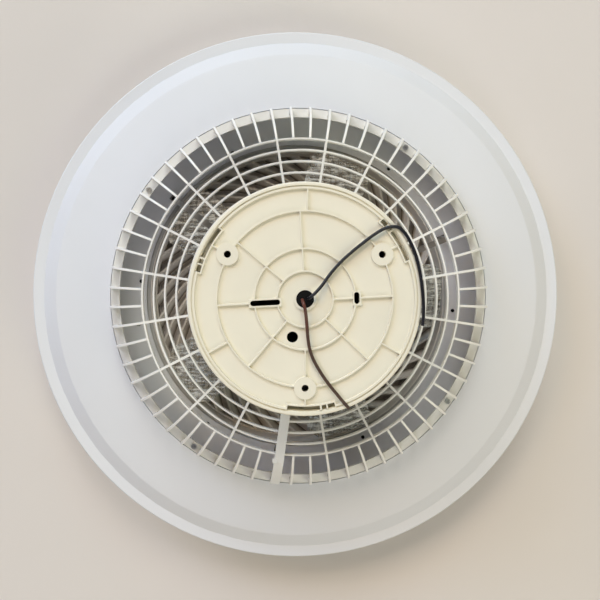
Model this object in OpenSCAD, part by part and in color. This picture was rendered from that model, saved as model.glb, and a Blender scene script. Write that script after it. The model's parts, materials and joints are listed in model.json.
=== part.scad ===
// Flush ceiling fan lamp, seen lying on its diffuser with the ceiling side up.
// Millimetres. The origin is the centre of the ceiling plate's ceiling face, and +Z points
// up to the ceiling, so every level below is a drop under the ceiling.

/* [Ceiling plate] */
// Outer diameter of the ceiling plate
plate_d = 197; // [190:1:206]
// Thickness of the plate's web
plate_web_t = 2.5; // [2:0.5:4]
// Height of the ribs and the rim above the web
plate_rib_h = 2.4; // [1.6:0.2:5]
// Thickness of the ribs
plate_rib_t = 1.2; // [1:0.1:2.4]
// Thickness of the rim wall
plate_rim_t = 4.5; // [4:0.1:5]
// Depth of the rim wall under the ceiling
plate_skirt_h = 14.5; // [14:0.5:18]
// Pitch circle of the ceiling screws
screw_pcd = 150; // [144:1:154]
// Diameter of the ceiling screw holes
screw_hole_d = 6; // [4:0.5:6.5]
// Diameter of the bosses round the ceiling screw holes
screw_boss_d = 18.8; // [13:0.2:20]
// Diameter of the cable hole in the middle
cable_hole_d = 15; // [13:0.5:18]
// Diameters of the three ring ribs
ring_ribs_d = [47, 85, 148];
// Length and width of the long keyhole slot
long_slot = [25, 4.6];
// Length and width of the short keyhole slot
short_slot = [4.6, 10];
// Diameter of the plain hole
plain_hole_d = 9.4; // [6:0.2:11]

/* [Bayonet] */
// Angle at which each of the three rim slots starts
slot_start = 20.6; // [10:0.1:40]
// Length of each rim slot in degrees
slot_sweep = 25.1; // [20:0.1:28]
// Radial width of the rim slots
slot_w = 4; // [2.6:0.1:5]
// How far the catches stand in from the rim wall
catch_w = 3.5; // [3:0.1:5]
// Thickness of the catches and of the drum's lugs
catch_t = 2.9; // [2:0.1:3.2]
// Length of each lug in degrees
lug_sweep = 16; // [10:1:18]

/* [Drum] */
// Gap between the web of the plate and the drum's top
drum_top_gap = 1.5; // [1:0.5:3]
// Wall of the drum
drum_wall = 2; // [1.6:0.2:3]
// Drop of the drum's foot under the ceiling
drum_foot = 80; // [76:1:90]
// Width of the foot flange outside the drum
drum_flange_w = 14.5; // [12:0.5:15]

/* [Intake cage] */
// Number of ribs round the cage, a multiple of three
rib_count = 60; // [48:6:72]
// Thickness of a rib
rib_t = 2.2; // [1.6:0.1:3]
// Depth of a rib
rib_depth = 6; // [4:0.5:7]
// Gap between the drum's flange and the middle of the innermost top ring
ring_gap = 2.5; // [1.6:0.1:4]
// Distance from ring to ring
ring_pitch = 10.5; // [10:0.1:10.9]
// Number of top rings
ring_count = 5; // [4:1:5]
// Drop of the top rings under the ceiling
top_ring_drop = 70; // [64:1:72]
// How far the foot ledge stands out past the outermost top ring
shoulder_w = 40.05; // [36:0.05:44]
// Width of the foot ledge
ledge_w = 8.7; // [7:0.1:9.5]
// Thickness of the foot ledge
ledge_t = 2.5; // [2:0.1:4]
// Drop of the ledge's top under the ceiling
ledge_drop = 120; // [116:1:124]
// Width of the wire channel
channel_w = 9; // [7:0.5:10]
// Height of the wire channel
channel_h = 3; // [2.6:0.2:4]

/* [Pan and tray] */
// Outer diameter of the pan, the lamp's overall diameter
pan_d = 550; // [546:1:556]
// Sheet thickness of the pan and the tray
sheet_t = 1.2; // [0.8:0.1:1.5]
// Drop of the pan's outer flange under the ceiling
pan_drop = 148; // [146:1:152]
// Width of the flat outer flange
flange_w = 11.5; // [11:0.5:14]
// Width of the bevel inside the flange
bevel_w = 16.5; // [12:0.5:18]
// Rise of the bevel
bevel_h = 13; // [8:0.5:14]
// Height of the turned-down outer hem
hem_h = 3; // [2:0.5:4]
// Drop of the tray's floor under the ceiling
tray_drop = 166; // [164:1:170]
// Gap between the tray's wall and the diffuser's wall, which holds the keepers
keeper_gap = 5.5; // [5:0.1:7]

/* [Arms] */
// Width of each arm
arm_w = 5.5; // [5:0.5:12]
// Thickness of each arm and of the disc between them
arm_t = 2.5; // [2:0.1:3]
// Angle of the first arm
arm_start = 22; // [20:0.5:24]

/* [Motor] */
// Shaft diameter
shaft_d = 8; // [6:0.5:8]
// Outer diameter of the bearings
bearing_d = 22; // [20:0.5:24]
// Width of the bearings
bearing_w = 7; // [5:0.5:8]
// Outer diameter of the stator
stator_d = 72; // [68:1:76]
// Height of the stator stack
stator_h = 26; // [18:1:28]
// Number of stator teeth
tooth_count = 12; // [9:3:15]
// Air gap between the stator and the magnets
air_gap = 0.7; // [0.5:0.1:1]
// Thickness of the magnets
magnet_t = 3.6; // [2.5:0.1:4.5]
// Wall of the rotor bell
bell_t = 2.4; // [1.6:0.2:3]

/* [Fan] */
// Number of blades
blade_count = 5;
// Gap between the blade tips and the outlet duct
tip_gap = 5; // [5:0.5:12]
// Width of a blade across its root and its tip
blade_chord = [52, 74];
// Pitch of a blade at its root and its tip
blade_pitch = [24, 13];
// Thickness of a blade
blade_t = 2; // [1.6:0.1:2.4]
// Diameter of the blade hub
hub_d = 112; // [104:1:120]

/* [Outlet grille] */
// Number of spiral vanes
vane_count = 40; // [32:2:44]
// Angle of the vanes against the radius
vane_angle = 52; // [40:1:56]
// Height of the vanes
vane_h = 10; // [8:0.5:12]
// Thickness of the vanes
vane_t = 2.2; // [1.6:0.1:2.6]
// Lean of the vanes over their height, in degrees round the axis
vane_lean = 3.6; // [0:0.2:4]
// How far the outlet duct's wall stands out past the outermost top ring
duct_offset = 7.4; // [7:0.1:10]
// Wall of the outlet duct
duct_t = 2; // [1.6:0.1:2.4]
// Diameter of the middle cap
cap_d = 130; // [120:1:140]

/* [Light] */
// How far the pan stands out over the diffuser
pan_overhang = 5; // [4:0.5:8]
// Gap between the outlet duct and the diffuser's inner edge
lamp_gap = 11.5; // [11:0.5:14]
// Wall of the diffuser
diffuser_t = 2.5; // [2:0.1:3]
// Total height of the lamp
total_h = 203; // [200:1:208]
// Radius of the diffuser's outer corner
diffuser_corner = 16; // [10:1:20]
// Width of the light boards
board_w = 52; // [30:1:54]
// Number of light chips on a board, along the arc
chips_along = 12; // [8:1:14]

/* [Wires] */
// Diameter of the two supply wires
wire_d = 2.8; // [2.6:0.1:3]

/* [Hidden] */
$fn = 96;
e = 0.01;           // overlap that makes a cut clean
fit = 0.3;          // gap between parts that move past each other
hole_gap = 0.2;     // gap of a screw in its clearance hole, on the radius
shaft_gap = 0.05;   // running gap of the shaft in its bearings, on the radius

// Ceiling plate
plate_r = plate_d / 2;
web_top = -plate_rib_h;
web_bottom = web_top - plate_web_t;
rim_in_r = plate_r - plate_rim_t;
slot_out_r = rim_in_r + 0.4;
slot_in_r = slot_out_r - slot_w;
// The two bridges across each rim slot: distance from the slot's start and width, in degrees
slot_bridges = [[17.2, 1], [20.6, 0.8]];
slot_border = 1.3;                  // raised border round every slot
rim_lip = 3.2;                      // outer lip of the rim, outside its groove
rim_groove = [1.1, 1.4];            // width and depth of the groove round the rim
rim_round = 1.5;                    // of the rim's outer top edge
rim_top_r = rim_in_r - 1.6;         // inner edge of the rim above the web
catch_r = rim_in_r - catch_w;
catch_top = -plate_skirt_h + catch_t;
catch_stop = 1.4;                   // end stop on each catch, in degrees
catch_sweep = slot_sweep + catch_stop + 0.2;
catch_relief = 0.2;                 // groove in the web above the catches
lug_play = 0.6;                     // play between a lug and its stop, in degrees
lug_start = slot_start + catch_sweep - catch_stop - lug_play - lug_sweep;
spoke_angles = [93.3, 140, 230, 316, 45];
edge_angles = [88.7, 209, 330];
cross_tilt = 3;                     // turn of the rib that carries the two keyhole slots
cross_shift = -1.4;                 // offset of that rib from the plate's middle
long_slot_x = -33.5;
short_slot_x = 43.6;
plain_hole_at = [-10.6, -32];

// Drum
drum_r = catch_r - 0.8;
drum_top = web_bottom - drum_top_gap;
drum_rim_w = 6;                     // rim round the drum's open top, turned inwards
flange_r = drum_r + drum_flange_w;
disc_top = -drum_foot;
disc_bottom = disc_top - arm_t;
arm_step = 0.3;                     // the arms are pressed this much lower than the disc
drum_flange_t = 2;
collar_bottom = disc_top + drum_flange_t;
collar_t = 2.2;
collar_screw_r = drum_r + 8.4;
collar_screw_count = 6;

// Cage
ring_top = -top_ring_drop;
ring_t = 1.6;
ring_h = 5.6;
cage_inner_r = flange_r + ring_gap;
top_ring_r = cage_inner_r + (ring_count - 1) * ring_pitch;
ledge_r = top_ring_r + shoulder_w;
ledge_top = -ledge_drop;
ledge_bottom = ledge_top - ledge_t;
rib_pitch = 360 / rib_count;
rib_start = 9;
shoulder_a = shoulder_w;
shoulder_b = ledge_drop - top_ring_drop;
grille_screw_r = ledge_r - ledge_w / 2;
grille_screw_start = 54.7;
channel_angle = 262;
channel_in = 4;                     // depth of the channel on the cage's slope
bump_r = top_ring_r + 6.4;         // radius at which the latch bump stands
lead_w = 3;
lead_t = 1.6;
lead_side = 0;                      // the lead's offset from the channel's middle
lead_down_r = ledge_r - channel_in + lead_t;    // outer face of the lead where it goes down

// Pan and tray
connector_top = ledge_bottom - sheet_t - 2;
pan_r = pan_d / 2;
pan_top = -pan_drop;
pan_seat = ledge_bottom;            // the cage's ledge rests here
pan_hole_r = ledge_r - ledge_w + 2;
bevel_out_r = pan_r - flange_w;
bevel_in_r = bevel_out_r - bevel_w;
bevel_top = pan_top + bevel_h;
tray_top = -tray_drop;
tray_bottom = tray_top - sheet_t;
diffuser_r = pan_r - pan_overhang;
tray_wall_r = diffuser_r - diffuser_t - keeper_gap;
tray_flange_r = diffuser_r + 1;
tray_flange_top = pan_top - sheet_t;

// The air outlet's radii, from the duct's inside outwards
duct_in_r = top_ring_r + duct_offset;
duct_r = duct_in_r + duct_t;
tray_hole_r = duct_r + 3.5;
neck_r = duct_in_r + 1.2;           // the duct's neck, which stands up through the tray
duct_screw_r = duct_in_r + 11.7;
duct_screw_start = -5.4;
duct_screw = [1.8, 1.2, 1.1];       // radius and height of the head, radius of the shank
diffuser_hole_r = duct_r + lamp_gap;
outlet_flange_r = diffuser_hole_r + 3.5;
lead_hole_at = [190, tray_hole_r + 11.4];   // angle and radius of the tray's spare lead hole
arm_bend_r = top_ring_r + 1.3;

// Motor, from the disc down
base_flange_t = 4;
base_flange_r = 32;
tube_t = 2.4;
bearing_r = bearing_d / 2;
tube_r = bearing_r + tube_t;
base_bottom = disc_bottom - base_flange_t;
upper_bearing_top = base_bottom - 7.5;
stator_top = base_bottom - 21.5;
stator_bottom = stator_top - stator_h;
tube_bottom = stator_bottom - 6;
lower_bearing_bottom = tube_bottom + 1;
stator_r = stator_d / 2;
magnet_in_r = stator_r + air_gap;
bell_in_r = magnet_in_r + magnet_t;
bell_r = bell_in_r + bell_t;
bell_top = stator_top + 2;
bell_floor = tube_bottom - 3;
bell_bottom = bell_floor - 3;
shaft_r = shaft_d / 2 - shaft_gap;
shaft_top = upper_bearing_top + 4;
shaft_bottom = bell_bottom;
motor_screw_r = 25;

// Fan, from the bell down
hub_h = 6;
hub_top = bell_bottom;
hub_bottom = hub_top - hub_h;
pad_t = 4;
pad_bottom = hub_bottom - pad_t;
clamp_t = 3;
clamp_bottom = pad_bottom - clamp_t;
hub_r = hub_d / 2;
pad_in_r = 31;
blade_r = duct_in_r - tip_gap;
blade_mid = hub_bottom - pad_t / 2;
blade_screw_r = 44;
blade_screw_half = 6.5;             // half the spread of a blade's two screws
hub_screw_r = 36;
stations = 9;                       // sections along a blade
chord_steps = 8;                    // steps across a blade

// Outlet
gasket_t = 2;
gasket_gap = 0.6;                   // between the gasket's neck and the tray's hole
gasket_bottom = tray_bottom - gasket_t;
lamp_bottom = -total_h;
duct_flange_t = 2.4;
outlet_room = gasket_bottom - duct_flange_t - lamp_bottom;  // below the duct's flange
outlet_bottom = lamp_bottom + 3;
vane_top = outlet_bottom + 2 + vane_h;
cap_r = cap_d / 2;
cap_ring_t = 2.5;
rim_r = duct_in_r - 0.2;            // outside of the grille's own rim, inside the duct
rim_t = 1.8;
vane_steps = 8;                     // steps along a vane
boss_r = 4.2;
boss_h = 0.35 * outlet_room;

// Light
diffuser_top = tray_flange_top - sheet_t - 1.6;
board_t = 1.6;
board_mid_r = (outlet_flange_r + tray_wall_r) / 2 - 1.5;
board_out_r = board_mid_r + board_w / 2;
board_in_r = board_mid_r - board_w / 2;
board_bottom = tray_bottom - board_t;
board_count = 4;
board_gap = 6;                      // gap between boards, in degrees
chip = [5, 5, 0.8];
chip_rows = [0.27, 0.73];
keeper_count = 4;
keeper_sweep = 10;
keeper_t = 2.5;
lip_h = 0.38 * outlet_room;          // inner lip of the diffuser
lip_corner = min(5, lip_h * 0.75);
keeper_top = diffuser_top - 9;
cover_lug_sweep = 8;
cover_lug_t = 2.5;
keeper_reach = 4.9;
keeper_start = 40;

// Supply wires, chosen by hand: they leave the grommet and lie on the plate's ribs
wire_r = wire_d / 2;
lie = wire_r + 0.1;
grommet_top = -1.4;
neutral_route = [
    [2.3, 0.4, -1.4], [2.7, 0.6, 1.6], [4.6, 2, 4.6], [8.8, 5.8, 5], [14.5, 12.2, 2.6],
    [19.8, 19.6, lie], [26.5, 27.6, lie], [32.6, 33.8, lie], [39, 39.4, lie],
    [44.8, 44.2, lie], [50.8, 48.8, lie], [56.2, 52.9, lie], [61.8, 56.6, lie],
    [66.2, 58.9, lie], [71.2, 60.4, lie], [76.4, 60.6, lie], [80.6, 58.4, lie],
    [84.6, 54, lie], [87.6, 49, lie], [90.2, 43.6, lie], [92.4, 38.2, lie],
    [94.4, 31.4, lie], [96, 24.4, lie], [97.4, 16.8, lie], [98.4, 8.8, lie],
    [99.2, 0.6, lie], [99.6, -7.4, lie], [99.4, -15.2, lie], [98.6, -22.6, lie]
];
live_route = [
    [-2.3, -0.6, -1.4], [-2.2, -1.4, 1.4], [-1.4, -4.2, 4.2], [-0.2, -8.8, 4.6],
    [0.6, -14, 2.4], [1.2, -19.4, lie], [1.6, -24.6, lie], [2, -30, lie],
    [2.6, -35.4, lie], [3.6, -41, lie], [5.2, -46.6, lie], [7.6, -52.2, lie],
    [10.6, -57.6, lie], [14.4, -63.8, lie], [18.6, -69.8, lie], [22.6, -75, lie],
    [26.6, -79.8, lie], [30.2, -84.2, lie], [33.6, -88.2, lie], [36.8, -91.8, lie]
];
wire_step = 6.4;                    // distance between the rings of a wire's tube
wire_sides = 8;

// ---------------------------------------------------------------- helpers

// A ring between two radii and two levels
module tube(r_out, r_in, low, high) {
    translate([0, 0, low]) difference() {
        cylinder(r = r_out, h = high - low);
        translate([0, 0, -1]) cylinder(r = r_in, h = high - low + 2);
    }
}

// A part of such a ring, from one angle to another
module arc_band(r_out, r_in, from, sweep, low, high) {
    rotate([0, 0, from]) rotate_extrude(angle = sweep)
        translate([r_in, low]) square([r_out - r_in, high - low]);
}

// Children set round the axis
module around(count, start = 0) {
    for (i = [0 : count - 1]) rotate([0, 0, start + i * 360 / count]) children();
}

// A profile in radius and height, made into a radial plate of a given thickness
module radial_plate(points, thickness, angle, side = 0) {
    rotate([0, 0, angle]) translate([0, side, 0]) rotate([90, 0, 0])
        linear_extrude(height = thickness, center = true) polygon(points);
}

// A pan-head screw: the underside of its head is at zero and its shank points down
module screw(head_r, head_h, shank_r, length) {
    difference() {
        union() {
            cylinder(r = head_r, h = head_h, $fn = 32);
            translate([0, 0, -length]) cylinder(r = shank_r, h = length + e, $fn = 32);
        }
        for (a = [0, 90]) rotate([0, 0, a])
            translate([-head_r * 0.6, -0.4, head_h - 1]) cube([head_r * 1.2, 0.8, 2]);
    }
}

module hole(r, low, high) {
    translate([0, 0, low - 1]) cylinder(r = r, h = high - low + 2, $fn = 48);
}

// A quarter of an ellipse from the ledge up to the outer top ring
function shoulder(a, b, steps) = [
    for (i = [0 : steps]) let (t = 90 * i / steps)
        [top_ring_r + a * cos(t), ledge_top + b * sin(t)]
];

function reversed(list) = [for (i = [len(list) - 1 : -1 : 0]) list[i]];

// ---------------------------------------------------------------- ceiling plate

module slot_frame(size, at) {
    b = 2 * slot_border;
    translate([at - size[0] / 2 - slot_border, -size[1] / 2 - slot_border, web_top - e])
        cube([size[0] + b, size[1] + b, plate_rib_h - 0.2]);
}

module slot_cut(size, at) {
    r = min(size[0], size[1]) / 2;
    dx = size[0] / 2 - r;
    dy = size[1] / 2 - r;
    translate([at, 0, 0]) {
        for (s = [-1, 1]) translate([s * dx, s * dy, 0]) hole(r, -plate_skirt_h, 0);
        translate([-max(dx, r), -max(dy, r), -plate_skirt_h])
            cube([2 * max(dx, r), 2 * max(dy, r), plate_skirt_h + 1]);
    }
}

// A rib of the plate along a radius
module plate_spoke(angle, r_from, r_to) {
    rotate([0, 0, angle]) translate([r_from, -plate_rib_t / 2, web_top - e])
        cube([r_to - r_from, plate_rib_t, plate_rib_h + e]);
}

// The line of the rib that carries the two keyhole slots
module on_cross() translate([0, cross_shift, 0]) rotate([0, 0, cross_tilt]) children();

module rim_slots() {
    // Where each open part starts and ends, counted from the slot's start
    starts = concat([0], [for (b = slot_bridges) b[0] + b[1]]);
    ends = concat([for (b = slot_bridges) b[0]], [slot_sweep]);
    for (k = [0 : 2]) for (i = [0 : len(starts) - 1])
        arc_band(slot_out_r, slot_in_r, slot_start + k * 120 + starts[i], ends[i] - starts[i],
            web_bottom - 1, 1);
}

// The web and the rim wall, with the catches that carry the drum's lugs. The catches are
// what is left of a ring inside the wall, and each ends in a full-height stop.
module plate_body() {
    difference() {
        rotate_extrude() polygon([[0, web_bottom], [catch_r, web_bottom],
            [catch_r, -plate_skirt_h], [plate_r, -plate_skirt_h],
            for (t = [0 : 30 : 90]) [plate_r - rim_round * (1 - cos(t)), -rim_round * (1 - sin(t))],
            [rim_top_r, 0], [rim_top_r, web_top], [0, web_top]]);
        tube(rim_in_r, catch_r - 1, catch_top, web_bottom + catch_relief);
        around(3, slot_start + catch_sweep) arc_band(rim_in_r + catch_relief, catch_r - 1.2,
            0, 120 - catch_sweep, -plate_skirt_h - 1, catch_top + 1);
    }
    around(3, slot_start + catch_sweep - catch_stop) arc_band(rim_in_r + 1, catch_r + 0.3,
        0, catch_stop - 0.2, catch_top - 1, web_bottom + 1);
}

module mounting_plate() color([0.93, 0.91, 0.83]) {
    border_deg = slot_border / slot_out_r * 57.3;
    r1 = ring_ribs_d[0] / 2;
    r2 = ring_ribs_d[1] / 2;
    r3 = ring_ribs_d[2] / 2;
    difference() {
        union() {
            plate_body();
            for (d = ring_ribs_d)
                tube(d / 2 + plate_rib_t / 2, d / 2 - plate_rib_t / 2, web_top - e, 0);
            for (a = spoke_angles) plate_spoke(a, r1, r3);
            on_cross() {
                plate_spoke(180, -long_slot_x + long_slot[0] / 2, r3);
                plate_spoke(0, r1, short_slot_x - short_slot[0] / 2);
                plate_spoke(0, short_slot_x + short_slot[0] / 2, r3);
                slot_frame(long_slot, long_slot_x);
                slot_frame(short_slot, short_slot_x);
            }
            plate_spoke(270, r2, screw_pcd / 2);
            for (a = edge_angles) plate_spoke(a, r3, rim_in_r + 1);
            // Bosses of the ceiling screws, each tied to the frame of its rim slot
            around(3, 30) translate([screw_pcd / 2, 0, web_top - e])
                cylinder(r = screw_boss_d / 2, h = plate_rib_h + e, $fn = 64);
            for (k = [0 : 2]) plate_spoke(30 + k * 120, screw_pcd / 2, slot_in_r);
            for (k = [0 : 2]) arc_band(rim_in_r + 0.5, slot_in_r - slot_border,
                slot_start + k * 120 - border_deg, slot_sweep + 2 * border_deg,
                web_top - e, -0.3);
            // Collar round the cable hole
            translate([0, 0, web_top - e])
                cylinder(r = cable_hole_d / 2 + 2.2, h = plate_rib_h - 0.9, $fn = 64);
        }
        hole(cable_hole_d / 2, -plate_skirt_h, 0);
        around(3, 30) translate([screw_pcd / 2, 0, 0])
            hole(screw_hole_d / 2, -plate_skirt_h, 0);
        translate([plain_hole_at[0], plain_hole_at[1], 0])
            hole(plain_hole_d / 2, -plate_skirt_h, 0);
        on_cross() {
            slot_cut(long_slot, long_slot_x);
            slot_cut(short_slot, short_slot_x);
        }
        rim_slots();
        // Groove round the top of the rim
        tube(plate_r - rim_lip, plate_r - rim_lip - rim_groove[0], -rim_groove[1], 1);
    }
}

module cable_grommet() color([0.05, 0.05, 0.05]) {
    difference() {
        union() {
            translate([0, 0, web_bottom]) cylinder(r = cable_hole_d / 2,
                h = grommet_top - web_bottom, $fn = 64);
            translate([0, 0, web_bottom - 1]) cylinder(r = cable_hole_d / 2 + 1.6, h = 1,
                $fn = 64);
        }
        // The hollow below, through which the supply leads come up from the drum
        translate([0, 0, web_bottom - 2]) cylinder(r = cable_hole_d / 2 - 2, h = 5.2,
            $fn = 64);
    }
}

// ---------------------------------------------------------------- supply wires

// A smooth curve through four neighbouring route points
function smooth(p0, p1, p2, p3, t) = 0.5 * (2 * p1 + (p2 - p0) * t
    + (2 * p0 - 5 * p1 + 4 * p2 - p3) * t * t + (3 * p1 - p0 - 3 * p2 + p3) * t * t * t);

// Points along the whole route, two to a stretch
function along(route) = let (n = len(route) - 1) [
    for (i = [0 : n - 1]) for (t = [0, 0.5])
        smooth(route[max(i - 1, 0)], route[i], route[i + 1], route[min(i + 2, n)], t),
    route[n]
];

function unit(v) = v / norm(v);

// One closed tube swept along points, with its sides kept from twisting
module swept_tube(points, r, sides) {
    n = len(points);
    tangents = [for (i = [0 : n - 1])
        unit(points[min(i + 1, n - 1)] - points[max(i - 1, 0)])];
    // The first tangent is upright and the last one lies flat, so both ends are square
    across = [for (t = tangents) unit(abs(t[2]) > 0.9 ? cross([1, 0, 0], t)
        : cross([0, 0, 1], t))];
    rings = [for (i = [0 : n - 1]) for (k = [0 : sides - 1])
        let (a = 360 * (k + 0.5) / sides, s = across[i], u = cross(tangents[i], s))
        points[i] + r * (cos(a) * s + sin(a) * u)];
    caps = [[for (k = [0 : sides - 1]) k],
        [for (k = [sides - 1 : -1 : 0]) (n - 1) * sides + k]];
    skin = [for (i = [0 : n - 2]) for (k = [0 : sides - 1])
        let (k2 = (k + 1) % sides, p = i * sides, q = p + sides)
        each [[p + k, q + k, q + k2], [p + k, q + k2, p + k2]]];
    polyhedron(points = rings, faces = concat(caps, skin));
}

// The route thinned to rings that lie about two diameters apart
function thinned(points) = [for (i = [0 : len(points) - 1])
    if (i % 2 == 0 || i < 12) points[i]];

module neutral_wire() color([0.10, 0.12, 0.30])
    swept_tube(thinned(along(neutral_route)), wire_r, wire_sides);

module live_wire() color([0.35, 0.17, 0.10])
    swept_tube(thinned(along(live_route)), wire_r, wire_sides);

// ---------------------------------------------------------------- drum and arms

module canopy_drum() color([0.93, 0.92, 0.86]) {
    lug_z = catch_top + fit;
    difference() {
        union() {
            tube(drum_r, drum_r - drum_rim_w, drum_top - drum_wall, drum_top);
            tube(drum_r, drum_r - drum_wall, disc_top, drum_top - drum_wall / 2);
            tube(flange_r, drum_r - drum_wall, disc_top, collar_bottom);
            for (k = [0 : 2]) arc_band(rim_in_r - fit, drum_r - 1, lug_start + k * 120,
                lug_sweep, lug_z, lug_z + catch_t);
        }
        // Hole by which the lead of the lights leaves the drum
        rotate([0, 0, channel_angle]) translate([drum_r - 5, 0, ring_top + lead_t / 2])
            rotate([0, 90, 0]) cylinder(r = lead_w / 2 + 0.6, h = 10, $fn = 32);
        around(collar_screw_count, 30) translate([collar_screw_r, 0, 0])
            hole(1.9 + hole_gap, disc_top, collar_bottom);
    }
}

// The screws of the arms' feet and the six between them go down into the duct's bosses
module arm_screw_places()
    for (k = [0 : 2]) rotate([0, 0, arm_start + k * 120]) translate([duct_screw_r, 0, 0])
        children();

module duct_screw_places() around(6, duct_screw_start) translate([duct_screw_r, 0, 0])
    children();

// One arm, from the disc outwards, down outside the blades and out to its foot
function arm_profile() = let (foot_r = duct_screw_r + 3.6, high = disc_top - arm_step,
    leg = duct_screw_r - 3.4 - arm_bend_r,
    low = disc_bottom - arm_step)
    [[drum_r, high], [arm_bend_r, high], [arm_bend_r + leg, tray_top + arm_t],
    [foot_r, tray_top + arm_t], [foot_r, tray_top], [arm_bend_r + leg - 2.2, tray_top],
    [arm_bend_r - 2, low], [drum_r, low]];

module support_spider() color([0.32, 0.31, 0.30]) {
    difference() {
        union() {
            translate([0, 0, disc_bottom]) cylinder(r = flange_r, h = arm_t);
            for (k = [0 : 2]) radial_plate(arm_profile(), arm_w, arm_start + k * 120);
        }
        hole(tube_r - 1, disc_bottom, disc_top);
        around(collar_screw_count, 30) translate([collar_screw_r, 0, 0])
            hole(1.9, disc_bottom, disc_top);
        around(4, 45) translate([motor_screw_r, 0, 0]) hole(1.9 + hole_gap, disc_bottom, disc_top);
        arm_screw_places() hole(duct_screw[2] + hole_gap, tray_top, tray_top + arm_t);
        driver_screw_places() hole(1.7, disc_bottom, disc_top);
    }
}

module collar_screws() color("silver")
    around(collar_screw_count, 30) translate([collar_screw_r, 0, collar_bottom + collar_t])
        screw(3.5, 2.2, 1.9, collar_bottom + collar_t - disc_bottom);

module arm_screws() color("silver")
    arm_screw_places() translate([0, 0, tray_top + arm_t])
        small_screw(arm_t);

// ---------------------------------------------------------------- intake cage

// The cage's ribs, its top rings and its foot ledge are one moulding. They are three solids
// here, which meet face to face. A rib stands on the ledge and ends at the outermost ring.
function rib_profile() = let (n = 6, end = top_ring_r + ring_t / 2,
    outer = shoulder(shoulder_a, shoulder_b, n),
    inner = shoulder(shoulder_a - rib_depth, shoulder_b - rib_depth, n),
    share = ring_t / 2 / (outer[n - 1][0] - top_ring_r),
    under = ring_t / 2 / (inner[n - 1][0] - top_ring_r))
    concat([for (i = [0 : n - 1]) outer[i]],
        [[end, ring_top - share * (ring_top - outer[n - 1][1])],
        [end, ring_top - rib_depth - under * (ring_top - rib_depth - inner[n - 1][1])]],
        [for (i = [n - 1 : -1 : 0]) inner[i]]);

// Children at the angles of the ribs, but for the one that the channel takes the place of
module at_ribs(step) {
    for (i = [0 : step : rib_count - 1]) let (a = rib_start + i * rib_pitch)
        if (abs(a % 360 - channel_angle) > rib_pitch / 2) rotate([0, 0, a]) children();
}

module cage_ribs() color([0.95, 0.94, 0.90])
    at_ribs(1) radial_plate(rib_profile(), rib_t, 0);

module cage_ledge() color([0.95, 0.94, 0.90]) {
    difference() {
        tube(ledge_r, ledge_r - ledge_w, ledge_bottom, ledge_top);
        around(4, grille_screw_start) translate([grille_screw_r, 0, 0])
            hole(1.6 + hole_gap, ledge_bottom, ledge_top);
        lead_opening(ledge_bottom - 1, ledge_top + 3);
    }
}

module intake_grille() color([0.95, 0.94, 0.90]) {
    difference() {
        union() {
            // The innermost ring reaches down to the collar, which lies on the drum's flange
            for (i = [0 : ring_count - 1]) let (r = top_ring_r - i * ring_pitch)
                tube(r + ring_t / 2, r - ring_t / 2,
                    i < ring_count - 1 ? ring_top - ring_h : collar_bottom + 0.3, ring_top);
            tube(cage_inner_r, drum_r + 0.5, collar_bottom, collar_bottom + collar_t);
            at_ribs(3) translate([cage_inner_r, -rib_t / 2, ring_top - ring_h])
                cube([top_ring_r - cage_inner_r, rib_t, ring_h]);
        }
        around(collar_screw_count, 30) translate([collar_screw_r, 0, 0])
            hole(1.9 + hole_gap, collar_bottom, collar_bottom + collar_t);
    }
}

module lead_opening(low, high) {
    rotate([0, 0, channel_angle])
        translate([lead_down_r - lead_t - 0.3, lead_side - lead_w / 2 - 0.3, low])
            cube([lead_t + 0.6, lead_w + 0.6, high - low]);
}

// A strip that follows the outside of the cage: the drop of its inner and outer face
// from the line of the ribs' outer edge, on the slope and over the rings
function over_cage(slope_in, slope_out, low, high, r_in, foot) = let (n = 8)
    concat([[ledge_r + slope_out, foot]], shoulder(shoulder_a + slope_out, shoulder_b + high, n),
        [[r_in, ring_top + high], [r_in, ring_top + low]],
        reversed(shoulder(shoulder_a + slope_in, shoulder_b + low, n)),
        [[ledge_r + slope_in, foot]]);

module wire_channel() color([0.95, 0.95, 0.93]) {
    difference() {
        union() {
            radial_plate(over_cage(-channel_in, 0, 0, channel_h, cage_inner_r, ledge_top),
                channel_w, channel_angle);
            // Latch bump on the channel's edge
            rotate([0, 0, channel_angle])
                translate([bump_r, 0.6 - channel_w / 2, ring_top - 3])
                    cylinder(r = 2.4, h = 6.4, $fn = 32);
        }
        radial_plate(over_cage(-channel_in - 1, lead_t + 0.2 - channel_in, -1, lead_t + 0.2,
            cage_inner_r - 1, ledge_top - 1), lead_w + 0.4, channel_angle, lead_side);
    }
}

// Two-core lead along the cage under the channel, then down through ledge and pan
module led_lead() color([0.92, 0.92, 0.92])
    radial_plate(over_cage(-channel_in, lead_t - channel_in, 0, lead_t, drum_r - 6,
        connector_top), lead_w, channel_angle, lead_side);

module lead_connector() color([0.92, 0.92, 0.90]) {
    rotate([0, 0, channel_angle])
        translate([lead_down_r - 5, lead_side - 5, connector_top - 8]) cube([9, 10, 8]);
    // Two pegs that hang the connector from the pan
    rotate([0, 0, channel_angle]) for (s = [-1, 1])
        translate([lead_down_r + 1, lead_side + s * 3.6, connector_top - e])
            cylinder(r = 1, h = 2 + e, $fn = 24);
}

module grille_screws() color("silver")
    around(4, grille_screw_start) translate([grille_screw_r, 0, ledge_top])
        screw(2.8, 1.8, 1.6, ledge_t + sheet_t + 3);

// ---------------------------------------------------------------- pan and tray

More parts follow.
